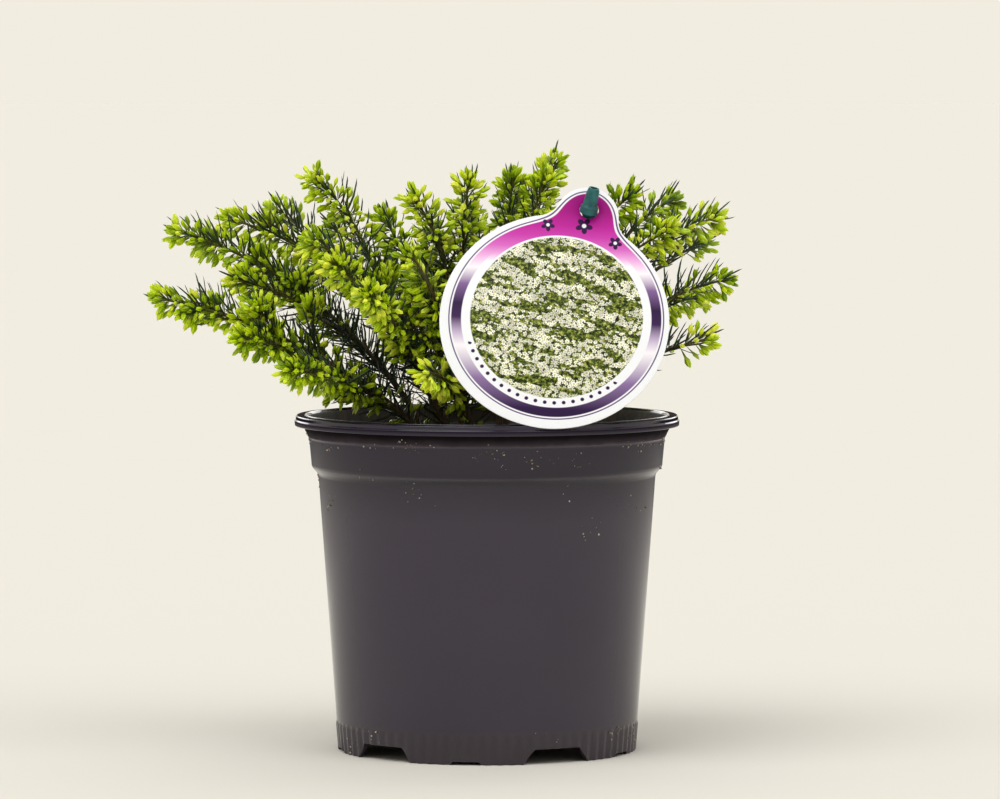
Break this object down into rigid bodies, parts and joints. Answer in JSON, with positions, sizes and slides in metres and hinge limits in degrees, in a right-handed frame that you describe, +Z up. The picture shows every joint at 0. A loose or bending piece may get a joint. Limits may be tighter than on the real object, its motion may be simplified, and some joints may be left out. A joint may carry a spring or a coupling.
{
  "type": "potted heath plant",
  "caption": "Low spreading heath with needle-leaved shoots and green flower buds, in a black round nursery pot with a round hanging label.",
  "frame": {"origin": "the pot's axis at its base, on the floor's flat middle", "axes": "+Z up along the pot's axis, -Y towards the label and the viewer, +X to the viewer's right"},
  "size_m": [0.1971, 0.1577, 0.2023],
  "materials": {
    "pot_plastic": "satin black moulded plastic",
    "peat": "damp dark peat",
    "label_card": "printed glossy plastic card",
    "stake_plastic": "dark green moulded plastic",
    "foliage": "dark green needles and yellow-green buds"
  },
  "bodies": {
    "root": {"pot": "pot_plastic", "peat": "peat", "label": "label_card", "label_stake": "stake_plastic", "branch_left_low": "foliage", "branch_left_middle": "foliage", "branch_left_high": "foliage", "branch_front_left": "foliage", "branch_front_middle": "foliage", "branch_centre": "foliage", "branch_centre_left": "foliage", "branch_centre_right": "foliage", "branch_back_high": "foliage", "branch_back_low": "foliage", "branch_right_high": "foliage", "branch_right_middle": "foliage", "branch_right_low": "foliage", "branch_back_right": "foliage"}
  },
  "joints": []
}
